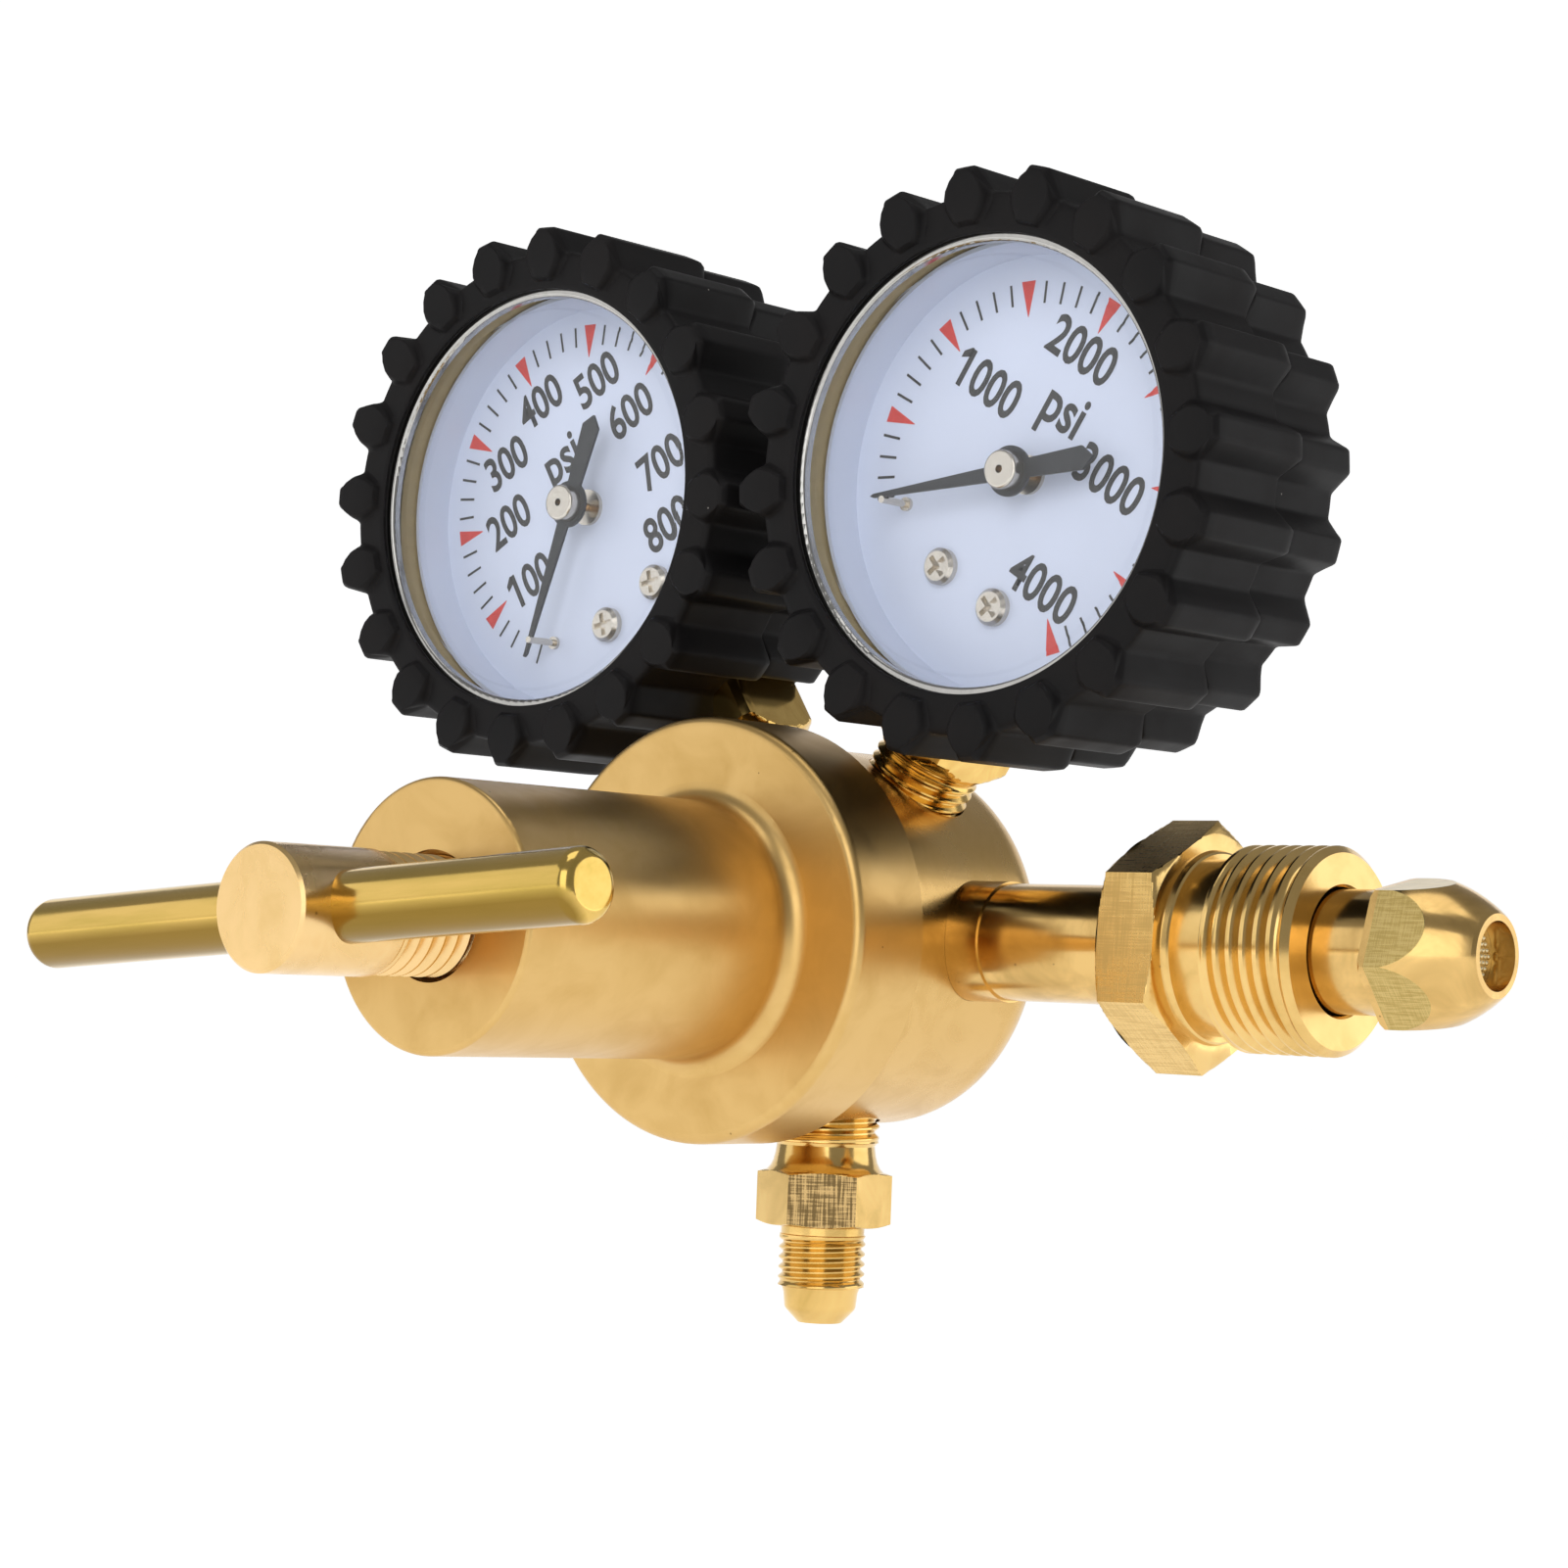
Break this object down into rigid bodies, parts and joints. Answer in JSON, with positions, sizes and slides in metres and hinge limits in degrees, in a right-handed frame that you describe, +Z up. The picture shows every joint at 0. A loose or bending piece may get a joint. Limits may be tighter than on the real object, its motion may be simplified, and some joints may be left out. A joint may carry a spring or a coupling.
{
  "type": "gas pressure regulator",
  "caption": "Brass nitrogen pressure regulator with T-handle screw, flared outlet, cylinder inlet nut and twin gauges in ribbed rubber boots.",
  "frame": {"origin": "middle of the inlet nut's thread, on the inlet axis", "axes": "+X out of the inlet along its axis, -Y towards the handle along the body axis, -Z down the outlet, +Z up between the gauges"},
  "size_m": [0.1684, 0.1144, 0.1412],
  "materials": {
    "turned_brass": "satin",
    "polished_brass": "polished",
    "machined_brass": "machined",
    "filter_bronze": "sintered",
    "tube_bronze": "drawn",
    "spring_steel": "oiled",
    "case_steel": "satin",
    "bezel_chrome": "polished",
    "nickel": "satin",
    "clear_lens": "clear",
    "dial_white": "matt",
    "pointer_black": "matt",
    "boot_rubber": "matt",
    "diaphragm_rubber": "matt"
  },
  "bodies": {
    "regulator": {"body": "turned_brass", "bonnet": "turned_brass", "diaphragm": "diaphragm_rubber", "slip_ring": "spring_steel", "adjusting_spring": "spring_steel", "valve_nozzle": "machined_brass", "poppet_spring": "spring_steel", "inlet_nipple": "machined_brass", "inlet_filter": "filter_bronze", "outlet_fitting": "machined_brass", "low_boot": "boot_rubber", "low_case": "case_steel", "low_bezel": "bezel_chrome", "low_lens": "clear_lens", "low_dial": "dial_white", "low_bushing": "nickel", "low_stop_pin": "nickel", "low_dial_screws": "nickel", "low_movement_frame": "machined_brass", "low_hairspring": "tube_bronze", "low_bourdon_tube": "tube_bronze", "low_socket": "polished_brass", "high_boot": "boot_rubber", "high_case": "case_steel", "high_bezel": "bezel_chrome", "high_lens": "clear_lens", "high_dial": "dial_white", "high_bushing": "nickel", "high_stop_pin": "nickel", "high_dial_screws": "nickel", "high_movement_frame": "machined_brass", "high_hairspring": "tube_bronze", "high_bourdon_tube": "tube_bronze", "high_socket": "polished_brass"},
    "spring_seat": {"spring_button": "machined_brass"},
    "handle": {"adjusting_screw": "polished_brass", "t_bar": "polished_brass"},
    "diaphragm_centre": {"diaphragm_plate": "machined_brass"},
    "poppet": {"valve_poppet": "machined_brass"},
    "nut": {"inlet_nut": "machined_brass"},
    "low_needle": {"low_pointer": "pointer_black", "low_pointer_cap": "nickel", "low_pointer_arbor": "machined_brass"},
    "low_sector": {"low_sector_gear": "machined_brass"},
    "low_link_bar": {"low_link": "machined_brass"},
    "high_needle": {"high_pointer": "pointer_black", "high_pointer_cap": "nickel", "high_pointer_arbor": "machined_brass"},
    "high_sector": {"high_sector_gear": "machined_brass"},
    "high_link_bar": {"high_link": "machined_brass"}
  },
  "joints": [
    {"name": "screw_travel", "type": "slide", "parent": "regulator", "child": "spring_seat", "axis": [0, 1, 0], "range_m": [0, 0.01], "deforming": ["adjusting_spring"]},
    {"name": "handle_turn", "type": "hinge", "parent": "spring_seat", "child": "handle", "pos_m": [-0.0702, 0, 0], "axis": [0, 1, 0], "range_deg": [0, 1800]},
    {"name": "plate_slide", "type": "slide", "parent": "regulator", "child": "diaphragm_centre", "axis": [0, 1, 0], "range_m": [0, 0.0008], "stiffness_N_per_m": 500, "deforming": ["diaphragm"]},
    {"name": "poppet_slide", "type": "slide", "parent": "regulator", "child": "poppet", "axis": [0, 1, 0], "range_m": [0, 0.0008], "deforming": ["poppet_spring"]},
    {"name": "nut_turn", "type": "hinge", "parent": "regulator", "child": "nut", "pos_m": [0, 0, 0], "axis": [1, 0, 0], "continuous": true},
    {"name": "low_needle_turn", "type": "hinge", "parent": "regulator", "child": "low_needle", "pos_m": [-0.10675, 0, 0.05627], "axis": [0, 1, 0], "range_deg": [0, 264], "stiffness_Nm_per_rad": 0.0001, "springref_deg": -17.19, "deforming": ["low_bourdon_tube", "low_hairspring"]},
    {"name": "low_sector_turn", "type": "hinge", "parent": "regulator", "child": "low_sector", "pos_m": [-0.09387, 0, 0.05209], "axis": [0, 1, 0], "range_deg": [-33.01, 0]},
    {"name": "low_link_turn", "type": "hinge", "parent": "low_sector", "child": "low_link_bar", "pos_m": [-0.08962, 0, 0.05633], "axis": [0, 1, 0], "range_deg": [0, 33.01]},
    {"name": "high_needle_turn", "type": "hinge", "parent": "regulator", "child": "high_needle", "pos_m": [-0.03365, 0, 0.05627], "axis": [0, 1, 0], "range_deg": [0, 264], "stiffness_Nm_per_rad": 0.0001, "springref_deg": -17.19, "deforming": ["high_bourdon_tube", "high_hairspring"]},
    {"name": "high_sector_turn", "type": "hinge", "parent": "regulator", "child": "high_sector", "pos_m": [-0.03224, 0, 0.04281], "axis": [0, 1, 0], "range_deg": [-33.01, 0]},
    {"name": "high_link_turn", "type": "hinge", "parent": "high_sector", "child": "high_link_bar", "pos_m": [-0.02664, 0, 0.04066], "axis": [0, 1, 0], "range_deg": [0, 33.01]}
  ],
  "couplings": [
    {"joint": "screw_travel", "follows": "handle_turn", "m_per_rad": 0.0003183},
    {"joint": "poppet_slide", "follows": "plate_slide", "ratio": 1},
    {"joint": "low_sector_turn", "follows": "low_needle_turn", "ratio": -0.125},
    {"joint": "low_link_turn", "follows": "low_needle_turn", "ratio": 0.125},
    {"joint": "high_sector_turn", "follows": "high_needle_turn", "ratio": -0.125},
    {"joint": "high_link_turn", "follows": "high_needle_turn", "ratio": 0.125}
  ]
}
